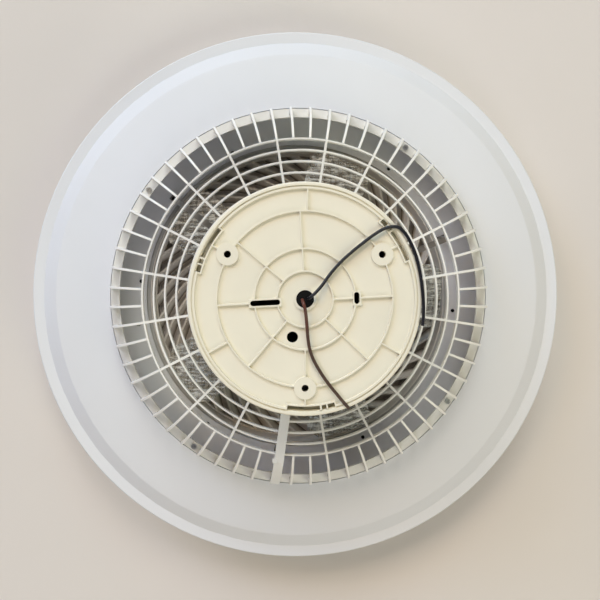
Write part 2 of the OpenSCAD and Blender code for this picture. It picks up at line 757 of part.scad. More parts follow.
// The cage's ledge lies in a seat, and a narrow gap is left round it
seat_gap = 0.8;
seat_r = ledge_r + seat_gap;
function pan_skin() = [
    [pan_hole_r, pan_seat], [seat_r, pan_seat], [seat_r, ledge_top - 0.1],
    [bevel_in_r - 3, bevel_top + 0.6],
    [bevel_in_r, bevel_top], [bevel_in_r + 1.6, bevel_top - 0.9],
    [bevel_out_r, pan_top], [pan_r - 1, pan_top], [pan_r, pan_top - 1]
];

module pan() color([0.86, 0.86, 0.88]) {
    skin = pan_skin();
    under = [for (p = skin) [min(p[0] + (p[0] == seat_r ? sheet_t : 0), pan_r - sheet_t),
        p[1] - sheet_t]];
    difference() {
        rotate_extrude($fn = 180) polygon(concat(skin,
            [[pan_r, pan_top - hem_h], [pan_r - sheet_t, pan_top - hem_h]],
            reversed([for (i = [0 : len(under) - 2]) under[i]])));
        around(4, grille_screw_start) translate([grille_screw_r, 0, 0])
            hole(1.6, pan_seat - sheet_t, pan_seat);
        lead_opening(pan_seat - sheet_t - 1, pan_seat + 1);
    }
}

module led_tray() color([0.55, 0.56, 0.58]) {
    difference() {
        union() {
            tube(tray_wall_r, tray_hole_r, tray_bottom, tray_top);
            tube(tray_wall_r, tray_wall_r - sheet_t, tray_bottom, tray_flange_top);
            tube(tray_flange_r, tray_wall_r - sheet_t, tray_flange_top - sheet_t,
                tray_flange_top);
        }
        duct_screw_places() hole(duct_screw[2] + hole_gap, tray_bottom, tray_top);
        arm_screw_places() hole(duct_screw[2] + hole_gap, tray_bottom, tray_top);
        rotate([0, 0, lead_hole_at[0]]) translate([lead_hole_at[1], 0, 0])
            hole(2.4, tray_bottom, tray_top);
        board_screw_places() hole(1.5, tray_bottom, tray_top);
    }
}

// ---------------------------------------------------------------- air outlet

module duct_ring() color([0.06, 0.06, 0.06]) {
    difference() {
        union() {
            tube(outlet_flange_r, neck_r + fit, gasket_bottom, tray_bottom);
            tube(tray_hole_r - gasket_gap, neck_r + fit, gasket_bottom + 0.5, tray_top + 0.8);
        }
        duct_screw_places() hole(duct_screw[2] + hole_gap, gasket_bottom, tray_bottom);
        arm_screw_places() hole(duct_screw[2] + hole_gap, gasket_bottom, tray_bottom);
    }
}

module duct_screws() color("silver")
    duct_screw_places() translate([0, 0, tray_top]) small_screw(0);

// One edge of a vane seen from above: a log spiral that keeps one angle with the radius
vane_in_r = cap_r - 4;
function vane_edge(shift, z, turn) = [for (i = [0 : vane_steps])
    let (r = vane_in_r * pow((rim_r - rim_t / 2) / vane_in_r, i / vane_steps),
        a = (tan(vane_angle) * ln(r / cap_r) + shift / r) * 57.3 + turn)
    [r * cos(a), r * sin(a), z]];

// One vane: its foot is turned against its head, so that it leans
module vane() {
    half = vane_t / cos(vane_angle) / 2;
    n = 2 * (vane_steps + 1);
    foot = concat(vane_edge(-half, vane_top - vane_h, vane_lean),
        reversed(vane_edge(half, vane_top - vane_h, vane_lean)));
    head = concat(vane_edge(-half, vane_top, 0), reversed(vane_edge(half, vane_top, 0)));
    // The two flat ends are strips of quads, and the sides are strips of triangles
    lids = [for (i = [0 : vane_steps - 1]) each [[n - 1 - i, i, i + 1],
        [n - 2 - i, n - 1 - i, i + 1], [2 * n - 1 - i, n + i + 1, n + i],
        [2 * n - 1 - i, 2 * n - 2 - i, n + i + 1]]];
    sides = [for (j = [0 : n - 1]) let (k = (j + 1) % n)
        each [[n + k, k, j], [n + j, n + k, j]]];
    polyhedron(points = concat(foot, head), faces = concat(lids, sides));
}

module duct_boss() translate([0, 0, gasket_bottom - boss_h])
    cylinder(r = boss_r, h = boss_h, $fn = 32);

module duct_bore() translate([0, 0, gasket_bottom - boss_h + 1.8])
    cylinder(r = duct_screw[2], h = 20, $fn = 32);

module small_screw(above) screw(duct_screw[0], duct_screw[1], duct_screw[2],
    above + sheet_t + gasket_t + boss_h - 2);

module outlet_duct() color([0.72, 0.69, 0.63]) {
    difference() {
        union() {
            tube(outlet_flange_r, duct_in_r, gasket_bottom - duct_flange_t, gasket_bottom);
            tube(duct_r, duct_in_r, outlet_bottom, gasket_bottom);
            tube(neck_r, duct_in_r, gasket_bottom - 1, tray_top + 1);
            duct_screw_places() duct_boss();
            arm_screw_places() duct_boss();
        }
        duct_screw_places() duct_bore();
        arm_screw_places() duct_bore();
    }
}

// The grille is pressed up into the duct's foot
module outlet_grille() color([0.72, 0.69, 0.63]) {
    tube(diffuser_hole_r - 1, rim_r - rim_t, outlet_bottom - 2, outlet_bottom);
    tube(rim_r, rim_r - rim_t, outlet_bottom - 1, vane_top - 0.6);
    tube(cap_r - 3, cap_r - 3 - cap_ring_t, outlet_bottom, vane_top + 0.6);
    around(vane_count) vane();
}

module centre_cap() color([0.93, 0.93, 0.94]) {
    translate([0, 0, outlet_bottom - 2]) cylinder(r = cap_r, h = 2);
    tube(cap_r - 3 - cap_ring_t - 0.2, cap_r - 8, outlet_bottom - e, outlet_bottom + 6);
}

// ---------------------------------------------------------------- light

module board_screw_places() {
    for (b = [0 : board_count - 1]) for (s = [0.08, 0.5, 0.92])
        rotate([0, 0, (b + s) * 360 / board_count]) translate([board_mid_r, 0, 0]) children();
}

module led_boards() color([0.92, 0.92, 0.90]) {
    sweep = 360 / board_count - board_gap;
    difference() {
        for (b = [0 : board_count - 1]) arc_band(board_out_r, board_in_r,
            b * 360 / board_count + board_gap / 2, sweep, board_bottom, tray_bottom);
        board_screw_places() hole(1.5 + hole_gap, board_bottom, tray_bottom);
    }
}

module led_chips() color([0.95, 0.85, 0.35]) {
    sweep = 360 / board_count - 2.4 * board_gap;
    for (b = [0 : board_count - 1]) for (i = [0 : chips_along - 1]) for (s = chip_rows)
        rotate([0, 0, (b + 0.5) * 360 / board_count + sweep * (i / (chips_along - 1) - 0.5)])
            translate([board_in_r + s * board_w, 0, board_bottom - chip[2] / 2])
                cube(chip, center = true);
}

module board_screws() color("silver")
    board_screw_places() translate([0, 0, board_bottom]) mirror([0, 0, 1])
        screw(2.6, 1.6, 1.5, board_t + sheet_t + 1.5);

module cover_keepers() color([0.70, 0.71, 0.73]) {
    for (k = [0 : keeper_count - 1]) {
        a = keeper_start + k * 360 / keeper_count;
        arc_band(tray_wall_r + keeper_reach, tray_wall_r, a, keeper_sweep,
            keeper_top - keeper_t, keeper_top);
        // Stop that the lug turns against
        arc_band(tray_wall_r + keeper_reach, tray_wall_r, a - 0.5, 0.6,
            keeper_top - keeper_t, keeper_top + cover_lug_t);
    }
}

// The diffuser's section: outer wall, rounded corner, flat bottom and inner lip
function diffuser_side(inset) = let (c = diffuser_corner - inset, ro = diffuser_r - inset,
    zb = lamp_bottom + inset, ri = diffuser_hole_r + inset, ci = lip_corner - inset)
    concat([[ro, diffuser_top]],
        [for (i = [0 : 6]) let (t = 90 * i / 6) [ro - c + c * cos(t), zb + c - c * sin(t)]],
        [for (i = [0 : 3]) let (t = 90 * i / 3) [ri + ci - ci * sin(t), zb + ci - ci * cos(t)]],
        [[ri, lamp_bottom + lip_h]]);

module diffuser() color([0.97, 0.97, 0.95]) {
    rotate_extrude($fn = 180) polygon(concat(diffuser_side(0),
        reversed(diffuser_side(diffuser_t))));
    lug_out = diffuser_r - diffuser_t + 0.5;
    for (k = [0 : keeper_count - 1])
        arc_band(lug_out, tray_wall_r + 1.2, keeper_start + 0.8 + k * 360 / keeper_count,
            cover_lug_sweep, keeper_top + fit, keeper_top + fit + cover_lug_t);
}

// ---------------------------------------------------------------- motor

module motor_base() color([0.75, 0.76, 0.78]) {
    difference() {
        union() {
            translate([0, 0, base_bottom]) cylinder(r = base_flange_r, h = base_flange_t);
            translate([0, 0, tube_bottom]) cylinder(r = tube_r, h = base_bottom - tube_bottom + e);
            // Shoulder that the stator is pressed against
            translate([0, 0, stator_top]) cylinder(r = tube_r + 2.5, h = base_bottom - stator_top);
        }
        translate([0, 0, tube_bottom - 1])
            cylinder(r = bearing_r - 1.5, h = disc_bottom - tube_bottom + 2);
        translate([0, 0, upper_bearing_top - bearing_w])
            cylinder(r = bearing_r, h = disc_bottom - upper_bearing_top + bearing_w + 1);
        translate([0, 0, tube_bottom - 1])
            cylinder(r = bearing_r, h = bearing_w + 1 + lower_bearing_bottom - tube_bottom);
        around(4, 45) translate([motor_screw_r, 0, base_bottom - 1])
            cylinder(r = 1.9, h = base_flange_t + 2, $fn = 32);
    }
}

module motor_screws() color("silver")
    around(4, 45) translate([motor_screw_r, 0, disc_top]) screw(3.5, 2.2, 1.9, arm_t + 3.6);

module bearing(bottom) {
    difference() {
        tube(bearing_r, shaft_d / 2, bottom, bottom + bearing_w);
        // Grooves between the inner ring, the shield and the outer ring
        for (z = [bottom - 1, bottom + bearing_w - 0.4])
            tube(bearing_r - 1.8, shaft_d / 2 + 1.8, z, z + 1.4);
    }
}

module bearing_upper() color("silver") bearing(upper_bearing_top - bearing_w);

module bearing_lower() color("silver") bearing(lower_bearing_bottom);

module tooth(width, r_from, r_to) {
    translate([r_from, -width / 2, stator_bottom])
        cube([r_to - r_from, width, stator_h]);
}

tooth_w = 5;
tooth_in_r = tube_r + 5;
shoe_t = 2.4;

module motor_stator() color([0.45, 0.45, 0.47]) {
    tube(tooth_in_r, tube_r, stator_bottom, stator_top);
    around(tooth_count) {
        tooth(tooth_w, tooth_in_r - 0.4, stator_r - 1);
        arc_band(stator_r, stator_r - shoe_t, -11, 22, stator_bottom, stator_top);
    }
}

module stator_windings() color([0.72, 0.40, 0.18]) {
    out_r = stator_r - shoe_t - 0.6;
    in_r = tooth_in_r + 1.2;
    around(tooth_count) difference() {
        intersection() {
            translate([in_r, -tooth_w / 2 - 2.6, stator_bottom - 3])
                cube([out_r - in_r, tooth_w + 5.2, stator_h + 6]);
            linear_extrude(height = 400, center = true)
                polygon([[0, 0], [60, 60 * tan(14.4)], [60, -60 * tan(14.4)]]);
        }
        tooth(tooth_w, in_r - 1, out_r + 1);
    }
}

module motor_shaft() color([0.80, 0.80, 0.82]) {
    difference() {
        translate([0, 0, shaft_bottom]) cylinder(r = shaft_r, h = shaft_top - shaft_bottom,
            $fn = 48);
        tube(shaft_r + 1, shaft_r - 0.5, circlip_bottom, circlip_bottom + circlip_t);
    }
}

circlip_t = 1;
circlip_bottom = upper_bearing_top + 0.2;

module shaft_circlip() color([0.25, 0.25, 0.26]) {
    difference() {
        tube(shaft_r + 2.4, shaft_r - 0.5, circlip_bottom, circlip_bottom + circlip_t);
        translate([0, -1.6, circlip_bottom - 1]) cube([10, 3.2, 3]);
    }
}

module rotor_bell() color([0.62, 0.63, 0.65]) {
    difference() {
        union() {
            translate([0, 0, bell_bottom]) cylinder(r = bell_r, h = bell_top - bell_bottom);
        }
        translate([0, 0, bell_floor]) cylinder(r = bell_in_r, h = bell_top - bell_floor + 1);
        translate([0, 0, bell_bottom - 1]) cylinder(r = shaft_r, h = 20, $fn = 48);
        around(6, 30) translate([27, 0, 0]) hole(4, bell_bottom, bell_floor);
        hub_screw_places() hole(1.5, bell_bottom, bell_floor);
    }
    // Boss that grips the shaft
    tube(7, shaft_r, bell_floor - e, bell_floor + 2.4);
}

module rotor_magnets() color([0.20, 0.20, 0.21])
    tube(bell_in_r, magnet_in_r, stator_bottom, stator_top);

// ---------------------------------------------------------------- fan

module blade_screw_places() {
    around(blade_count) for (s = [-1, 1])
        translate([blade_screw_r, s * blade_screw_half, 0]) children();
}

// Between the blades, where the hub is screwed to the bell
module hub_screw_places() {
    around(blade_count, 180 / blade_count) translate([hub_screw_r, 0, 0]) children();
}

module blade_hub() color([0.90, 0.90, 0.90]) {
    difference() {
        translate([0, 0, hub_bottom]) cylinder(r = hub_r, h = hub_h);
        hole(9, hub_bottom, hub_top);
        hub_screw_places() hole(1.5, hub_bottom, hub_top);
        blade_screw_places() hole(1.5, hub_bottom, hub_top);
    }
}

// Section of a blade at one station: chord, pitch and a slight camber
function blade_ring(s) = let (
    r = hub_r + 4 + s * (blade_r - hub_r - 4),
    chord = blade_chord[0] + s * (blade_chord[1] - blade_chord[0]) - 20 * pow(max(s - 0.8, 0) * 5, 3),
    pitch = blade_pitch[0] + s * (blade_pitch[1] - blade_pitch[0]))
    [for (side = [1, -1]) for (i = [0 : chord_steps])
        let (u = side > 0 ? i / chord_steps : 1 - i / chord_steps,
            x = chord * (u - 0.5), edge = 1 - pow(2 * u - 1, 6),
            z = 3.4 * (1 - pow(2 * u - 1, 2)) + side * blade_t / 2 * (0.35 + 0.65 * edge))
        [r, x * cos(pitch) - z * sin(pitch), blade_mid - 1 + x * sin(pitch) + z * cos(pitch)]];

module fan_blade(index) color([0.85, 0.87, 0.88, 0.55]) {
    m = 2 * (chord_steps + 1);
    points = [for (k = [0 : stations]) each blade_ring(k / stations)];
    skin = [for (k = [0 : stations - 1]) for (j = [0 : m - 1])
        let (j2 = (j + 1) % m, p = k * m, q = p + m)
        each [[p + j, q + j2, q + j], [p + j, p + j2, q + j2]]];
    // Each end is closed with quads between the two faces of the blade
    caps = [for (j = [0 : chord_steps - 1]) let (quad = [j, j + 1, m - 2 - j, m - 1 - j])
        each [[for (c = [3 : -1 : 0]) quad[c]], [for (c = quad) stations * m + c]]];
    rotate([0, 0, index * 360 / blade_count]) difference() {
        union() {
            polyhedron(points = points, faces = concat(caps, skin));
            translate([pad_in_r + 2, -13, pad_bottom]) cube([hub_r + 6 - pad_in_r, 26, pad_t]);
        }
        for (s = [-1, 1]) translate([blade_screw_r, s * blade_screw_half, 0])
            hole(1.5 + hole_gap, pad_bottom, hub_bottom);
    }
}

module blade_clamp() color([0.88, 0.88, 0.88]) {
    difference() {
        translate([0, 0, clamp_bottom]) cylinder(r = hub_r - 2, h = clamp_t);
        hole(20, clamp_bottom, pad_bottom);
        blade_screw_places() hole(1.5 + hole_gap, clamp_bottom, pad_bottom);
    }
}

module blade_screws() color("silver") {
    blade_screw_places() translate([0, 0, clamp_bottom]) mirror([0, 0, 1])
        screw(3, 1.8, 1.5, clamp_t + pad_t + hub_h - 1);
    // Screws that hold the hub to the bell
    hub_screw_places() translate([0, 0, hub_bottom]) mirror([0, 0, 1])
        screw(2.8, 1.8, 1.5, hub_h + 3);
}

// ---------------------------------------------------------------- electrics in the drum

driver_size = [88, 32, 24];
ear_w = 7;                          // length of the driver's screw ears
controller_size = [78, 46, 1.6];
controller_pitch = [70, 38];        // distances between the controller's pillars
pillar_h = 7;
terminal_size = [18, 34, 16];
receiver_size = [20, 34, 14];
room_r = drum_r - drum_wall - 3;    // radius that the electrics keep inside

// How far out something of a given width can go inside the drum
function reach(width) = sqrt(room_r * room_r - width * width / 4);
driver_y = reach(driver_size[0] + 2 * ear_w) - driver_size[1];
controller_y = controller_size[1] / 2 - reach(controller_size[0]);

module driver_screw_places() {
    for (s = [-1, 1]) translate([s * (driver_size[0] + ear_w) / 2,
        driver_y + driver_size[1] / 2, 0]) children();
}

module driver_screws() color("silver")
    driver_screw_places() translate([0, 0, disc_top + 2]) screw(3, 1.8, 1.7, arm_t + 2);

module led_driver() color([0.93, 0.93, 0.92]) {
    difference() {
        translate([-driver_size[0] / 2, driver_y, disc_top]) {
            difference() {
                cube(driver_size);
                for (i = [0 : 8]) translate([12 + i * 8, -1, 8]) cube([3, 2.5, 9]);
            }
            translate([-ear_w, driver_size[1] / 2 - 9, 0])
                cube([driver_size[0] + 2 * ear_w, 18, 2]);
        }
        driver_screw_places() hole(1.7 + hole_gap, disc_top, disc_top + 2);
    }
}

module controller_places() {
    for (x = [-0.5, 0.5]) for (y = [-0.5, 0.5])
        translate([x * controller_pitch[0], controller_y + y * controller_pitch[1], 0])
            children();
}

module controller_pillars() color([0.85, 0.80, 0.55])
    controller_places() translate([0, 0, disc_top]) {
        cylinder(r = 2.6, h = pillar_h, $fn = 24);
        translate([0, 0, pillar_h - e]) cylinder(r = 1.4, h = 3, $fn = 24);
    }

module fan_controller() color([0.10, 0.35, 0.18]) {
    difference() {
        translate([-controller_size[0] / 2, controller_y - controller_size[1] / 2,
            disc_top + pillar_h]) cube(controller_size);
        controller_places() hole(1.6, disc_top + pillar_h, disc_top + pillar_h + 2);
    }
}

module controller_parts() color([0.15, 0.15, 0.16]) {
    translate([0, controller_y, disc_top + pillar_h + controller_size[2]]) {
        for (x = [-22, -8]) translate([x, 6, 0]) cylinder(r = 6, h = 20, $fn = 32);
        translate([6, -4, 0]) cube([14, 14, 2.4]);
        translate([4, -16, 0]) cube([22, 9, 8]);
        translate([26, -2, 0]) cube([8, 12, 9]);
        translate([-30, -18, 0]) cube([16, 12, 12]);
    }
}

module signal_receiver() color([0.90, 0.90, 0.90]) {
    translate([reach(receiver_size[1]) - receiver_size[0], -receiver_size[1] / 2, disc_top]) {
        cube(receiver_size);
        translate([-4, 8, 6]) cube([4 + e, 3, 3]);
    }
}

module terminal_block() color([0.80, 0.80, 0.78]) {
    translate([-reach(terminal_size[1]), -terminal_size[1] / 2, disc_top]) difference() {
        cube(terminal_size);
        for (i = [0 : 2]) translate([terminal_size[0] / 2, 6 + i * 11, 0]) {
            translate([0, 0, 9]) cylinder(r = 2.4, h = 10, $fn = 24);
            translate([-12, 0, 5]) rotate([0, 90, 0]) cylinder(r = 2, h = 24, $fn = 24);
        }
    }
}

mounting_plate();
cable_grommet();
neutral_wire();
live_wire();
canopy_drum();
support_spider();
collar_screws();
intake_grille();
cage_ribs();
cage_ledge();
wire_channel();
led_lead();
lead_connector();
grille_screws();
pan();
led_tray();
arm_screws();
duct_ring();
duct_screws();
outlet_duct();
outlet_grille();
centre_cap();
led_boards();
led_chips();
board_screws();
cover_keepers();
motor_base();
motor_screws();
bearing_upper();
bearing_lower();
motor_stator();
stator_windings();
led_driver();
driver_screws();
fan_controller();
controller_parts();
controller_pillars();
signal_receiver();
terminal_block();
motor_shaft();
shaft_circlip();
rotor_bell();
rotor_magnets();
blade_hub();
fan_blade(0);  // fan_blade_1
fan_blade(1);  // fan_blade_2
fan_blade(2);  // fan_blade_3
fan_blade(3);  // fan_blade_4
fan_blade(4);  // fan_blade_5
blade_clamp();
blade_screws();
diffuser();
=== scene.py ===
import json
import math

import bmesh
import bpy
from mathutils import Matrix, Vector

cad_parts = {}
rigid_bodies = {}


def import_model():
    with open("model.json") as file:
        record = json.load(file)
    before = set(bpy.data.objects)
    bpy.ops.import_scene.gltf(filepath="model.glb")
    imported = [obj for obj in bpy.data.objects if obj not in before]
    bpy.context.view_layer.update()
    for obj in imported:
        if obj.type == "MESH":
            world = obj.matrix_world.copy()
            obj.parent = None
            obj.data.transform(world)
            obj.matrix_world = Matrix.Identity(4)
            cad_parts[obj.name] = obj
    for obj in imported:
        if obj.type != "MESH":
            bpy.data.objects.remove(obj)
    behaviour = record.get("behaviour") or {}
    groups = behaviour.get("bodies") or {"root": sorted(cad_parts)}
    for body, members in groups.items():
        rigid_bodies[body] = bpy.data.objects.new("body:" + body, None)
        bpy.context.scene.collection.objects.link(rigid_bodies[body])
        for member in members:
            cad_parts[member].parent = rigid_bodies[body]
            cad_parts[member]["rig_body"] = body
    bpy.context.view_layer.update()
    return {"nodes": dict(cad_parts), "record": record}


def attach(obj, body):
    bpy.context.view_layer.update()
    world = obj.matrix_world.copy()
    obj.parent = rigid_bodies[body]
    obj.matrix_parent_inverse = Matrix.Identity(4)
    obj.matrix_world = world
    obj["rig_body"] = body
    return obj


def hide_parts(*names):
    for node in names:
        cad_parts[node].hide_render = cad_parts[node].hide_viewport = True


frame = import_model()
MM = 0.001

# ---------------------------------------------------------------- camera
LENS, SENSOR, CLIP_END = 42.0, 36.0, 50.0
CAMERA_PLACE = (-26.39 * MM, 11.60 * MM, 585.4 * MM)
CAMERA_RIGHT = (0.99929, 0.0, 0.03763)
CAMERA_UP = (0.00079, 0.99978, -0.02102)
CAMERA_BACK = (-0.03763, 0.02104, 0.99907)


def make_camera():
    """The photograph's camera, above the ceiling side of the lamp and a little off its axis."""
    data = bpy.data.cameras.new("camera")
    data.lens = LENS
    data.sensor_width = SENSOR
    data.sensor_fit = "HORIZONTAL"
    data.clip_end = CLIP_END
    camera = bpy.data.objects.new("camera", data)
    bpy.context.scene.collection.objects.link(camera)
    rows = zip(CAMERA_RIGHT, CAMERA_UP, CAMERA_BACK, CAMERA_PLACE)
    camera.matrix_world = Matrix([*rows, (0, 0, 0, 1)])
    bpy.context.scene.camera = camera


make_camera()


# ---------------------------------------------------------------- material kit
BEVEL_SAMPLES = 4


class Shader:
    """A principled material whose pattern nodes are added one by one."""

    def __init__(self, name, colour, roughness=0.5, metallic=0.0, **sockets):
        self.material = bpy.data.materials.new(name)
        self.material.use_nodes = True
        self.tree = self.material.node_tree
        self.bsdf = self.tree.nodes["Principled BSDF"]
        self.colour = (*colour[:3], 1.0)
        self.set("Base Color", self.colour)
        self.set("Roughness", roughness)
        self.set("Metallic", metallic)
        for key, value in sockets.items():
            self.set(key.replace("_", " "), value)
        coordinates = self.tree.nodes.new("ShaderNodeTexCoord")
        self.object = coordinates.outputs["Object"]
        self.facing = coordinates.outputs["Normal"]
        self.normal = None

    def set(self, key, value):
        self.bsdf.inputs[key].default_value = value

    def link(self, source, target):
        self.tree.links.new(source, target)

    def stretched(self, scale):
        """Object coordinates with another scale along each axis."""
        node = self.tree.nodes.new("ShaderNodeMapping")
        node.inputs["Scale"].default_value = scale
        self.link(self.object, node.inputs["Vector"])
        return node.outputs["Vector"]

    def along(self, axis, vector=None):
        """One component of the place on the piece, in metres, or of another vector."""
        node = self.tree.nodes.new("ShaderNodeSeparateXYZ")
        self.link(vector or self.object, node.inputs["Vector"])
        return node.outputs[axis]

    def noise(self, scale, detail=3.0, rough=0.5, vector=None):
        """Cloudy values, mostly from 0.3 to 0.7. The scale counts features per metre."""
        node = self.tree.nodes.new("ShaderNodeTexNoise")
        node.inputs["Scale"].default_value = scale
        node.inputs["Detail"].default_value = detail
        node.inputs["Roughness"].default_value = rough
        self.link(vector or self.object, node.inputs["Vector"])
        return node.outputs["Fac"]

    def spread(self, value, low, high, start=0.3, end=0.7):
        """A value mapped from its usual range to another one."""
        node = self.tree.nodes.new("ShaderNodeMapRange")
        node.inputs["From Min"].default_value = start
        node.inputs["From Max"].default_value = end
        node.inputs["To Min"].default_value = low
        node.inputs["To Max"].default_value = high
        self.link(value, node.inputs["Value"])
        return node.outputs["Result"]

    def tint(self, factor, other):
        """The colour so far, mixed with another one by a factor."""
        node = self.tree.nodes.new("ShaderNodeMix")
        node.data_type = "RGBA"
        self.link(factor, node.inputs["Factor"])
        socket = self.bsdf.inputs["Base Color"]
        if socket.is_linked:
            self.link(socket.links[0].from_socket, node.inputs["A"])
        else:
            node.inputs["A"].default_value = self.colour
        node.inputs["B"].default_value = (*other[:3], 1.0)
        self.link(node.outputs["Result"], socket)

    def gloss(self, value):
        """A pattern of roughness."""
        self.link(value, self.bsdf.inputs["Roughness"])

    def round_edges(self, radius):
        """Edges shaded as if rounded, their radius in millimetres."""
        node = self.tree.nodes.new("ShaderNodeBevel")
        node.samples = BEVEL_SAMPLES
        node.inputs["Radius"].default_value = radius * MM
        self.normal = node.outputs["Normal"]
        self.link(self.normal, self.bsdf.inputs["Normal"])

    def bump(self, height, depth):
        """A relief, its depth in millimetres, laid over the relief so far."""
        node = self.tree.nodes.new("ShaderNodeBump")
        node.inputs["Strength"].default_value = 1.0
        node.inputs["Distance"].default_value = depth * MM
        self.link(height, node.inputs["Height"])
        if self.normal is not None:
            self.link(self.normal, node.inputs["Normal"])
        self.normal = node.outputs["Normal"]
        self.link(self.normal, self.bsdf.inputs["Normal"])


def srgb(red, green, blue):
    """Linear values of a colour given as it is seen, from 0 to 255."""
    def linear(v):
        v /= 255.0
        return v / 12.92 if v <= 0.04045 else ((v + 0.055) / 1.055) ** 2.4
    return linear(red), linear(green), linear(blue)


def shade(colour, factor):
    """A colour made darker or lighter by a factor."""
    return tuple(min(1.0, c * factor) for c in colour[:3])


MOULD_EDGE, MOULD_GRAIN, MOULD_MOTTLE = 0.35, 0.012, 0.05
METAL_EDGE, METAL_GRAIN = 0.2, 0.01
ROLLING_LINES = (1, 40, 1)


def moulded(name, colour, roughness, edge=MOULD_EDGE, **sockets):
    """Moulded plastic: faint flow marks, a fine spark-eroded grain and soft edges."""
    m = Shader(name, colour, roughness, **sockets)
    if edge:
        m.round_edges(edge)
    m.tint(m.spread(m.noise(22, 4), 0.0, 1.0), shade(colour, 1 - MOULD_MOTTLE))
    m.tint(m.spread(m.noise(240, 2), 0.0, 0.5, 0.55, 0.8), shade(colour, 1 - 0.6 * MOULD_MOTTLE))
    m.gloss(m.spread(m.noise(90, 3), roughness - 0.05, roughness + 0.07))
    m.bump(m.noise(1900, 2, 0.7), MOULD_GRAIN)
    return m


def sheet_metal(name, colour, roughness):
    """Bare plated metal: rolling lines, stains and small dents."""
    m = Shader(name, colour, roughness, metallic=1.0)
    m.round_edges(METAL_EDGE)
    lines = m.noise(120, 4, 0.6, m.stretched(ROLLING_LINES))
    m.tint(m.spread(m.noise(35, 5), 0.0, 1.0), shade(colour, 0.8))
    m.gloss(m.spread(lines, roughness - 0.08, roughness + 0.14))
    m.bump(lines, METAL_GRAIN)
    return m


def enamel(name, colour, roughness, **sockets):
    """Powder coat: orange peel, faint dust and a soft sheen."""
    m = Shader(name, colour, roughness, **sockets)
    m.tint(m.spread(m.noise(9, 4), 0.0, 1.0), shade(colour, 0.97))
    m.tint(m.spread(m.noise(700, 2), 0.0, 0.6, 0.6, 0.8), shade(colour, 0.95))
    m.gloss(m.spread(m.noise(60, 3), roughness - 0.04, roughness + 0.05))
    m.bump(m.noise(520, 2, 0.4), 0.02)
    return m


# ---------------------------------------------------------------- mesh kit
LATHE_STEPS, LATHE_SHARP = 240, 32.0
# A softened node: points closer than MERGE are joined, facets that meet at less than FLAT
# degrees become one face, and edges sharper than BEVEL_FROM degrees are rounded. What is then
# left shorter than CLEAN is closed up. Lengths in millimetres
MERGE, FLAT, BEVEL_FROM, CLEAN = 0.002, 1.5, 35, 0.004
BEVEL_SEGMENTS, BEVEL_PROFILE, BEVEL_SHARP = 2, 0.6, 60.0


def piece(name, bm, material, body, replaced, sharp):
    """An object made from a bmesh in millimetres, smooth but for its sharp edges."""
    bmesh.ops.recalc_face_normals(bm, faces=bm.faces)
    for face in bm.faces:
        face.smooth = True
    for edge in bm.edges:
        edge.smooth = len(edge.link_faces) == 2 and \
            edge.calc_face_angle(0.0) < math.radians(sharp)
    mesh = bpy.data.meshes.new(name)
    bm.to_mesh(mesh)
    bm.free()
    mesh.transform(Matrix.Scale(MM, 4))
    mesh.materials.append(material)
    made = bpy.data.objects.new(name, mesh)
    bpy.context.scene.collection.objects.link(made)
    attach(made, body)
    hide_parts(replaced)
    return made


def lean_normals(mesh):
    """Normals weighted by area, so that flat faces stay flat and the rounded edges turn."""
    sums = [Vector() for _ in mesh.vertices]
    for face in mesh.polygons:
        for index in face.vertices:
            sums[index] += face.normal * face.area
    mesh.normals_split_custom_set_from_vertices([v.normalized() for v in sums])


def softened_copy(name, node, material, body, width):
    """A CAD node's shape with its facets joined and its edges rounded."""
    bm = bmesh.new()
    bm.from_mesh(frame["nodes"][node].data)
    bmesh.ops.scale(bm, vec=(1000, 1000, 1000), verts=bm.verts)
    bmesh.ops.remove_doubles(bm, verts=bm.verts, dist=MERGE)
    bmesh.ops.dissolve_limit(bm, angle_limit=math.radians(FLAT), verts=bm.verts, edges=bm.edges)
    edges = [e for e in bm.edges if len(e.link_faces) == 2
             and e.calc_face_angle(0.0) > math.radians(BEVEL_FROM)]
    bmesh.ops.bevel(bm, geom=edges, offset=width, offset_type="OFFSET", segments=BEVEL_SEGMENTS,
                    profile=BEVEL_PROFILE, affect="EDGES", clamp_overlap=True)
    bmesh.ops.remove_doubles(bm, verts=bm.verts, dist=CLEAN)
    bmesh.ops.dissolve_degenerate(bm, dist=CLEAN, edges=bm.edges)
    bmesh.ops.triangulate(bm, faces=[f for f in bm.faces if len(f.verts) > 4])
    made = piece(name, bm, material, body, node, BEVEL_SHARP)
    lean_normals(made.data)


def lathe(name, profile, material, body, replaced):
    """A ring turned from a closed profile of radius and height, in millimetres."""
    bm = bmesh.new()
    rows = []
    for step in range(LATHE_STEPS):
        angle = math.tau * step / LATHE_STEPS
        rows.append([bm.verts.new((r * math.cos(angle), r * math.sin(angle), z))
                     for r, z in profile])
    for step in range(LATHE_STEPS):
        here, there = rows[step], rows[(step + 1) % LATHE_STEPS]
        for i in range(len(profile)):
            j = (i + 1) % len(profile)
            bm.faces.new((here[i], here[j], there[j], there[i]))
    piece(name, bm, material, body, replaced, LATHE_SHARP)


# ---------------------------------------------------------------- supply wires
WIRE_R = 1.4
CURVE_STEPS = 8


def curve_points(route):
    """The same smooth curve as in the CAD source, through the points of a route."""
    found, last = [], len(route) - 1
    for i in range(last):
        p0, p1 = Vector(route[max(i - 1, 0)]), Vector(route[i])
        p2, p3 = Vector(route[i + 1]), Vector(route[min(i + 2, last)])
        for k in range(CURVE_STEPS):
            t = k / CURVE_STEPS
            found.append(0.5 * (2 * p1 + (p2 - p0) * t + (2 * p0 - 5 * p1 + 4 * p2 - p3) * t * t
                                + (3 * p1 - p0 - 3 * p2 + p3) * t ** 3))
    return found + [Vector(route[last])]


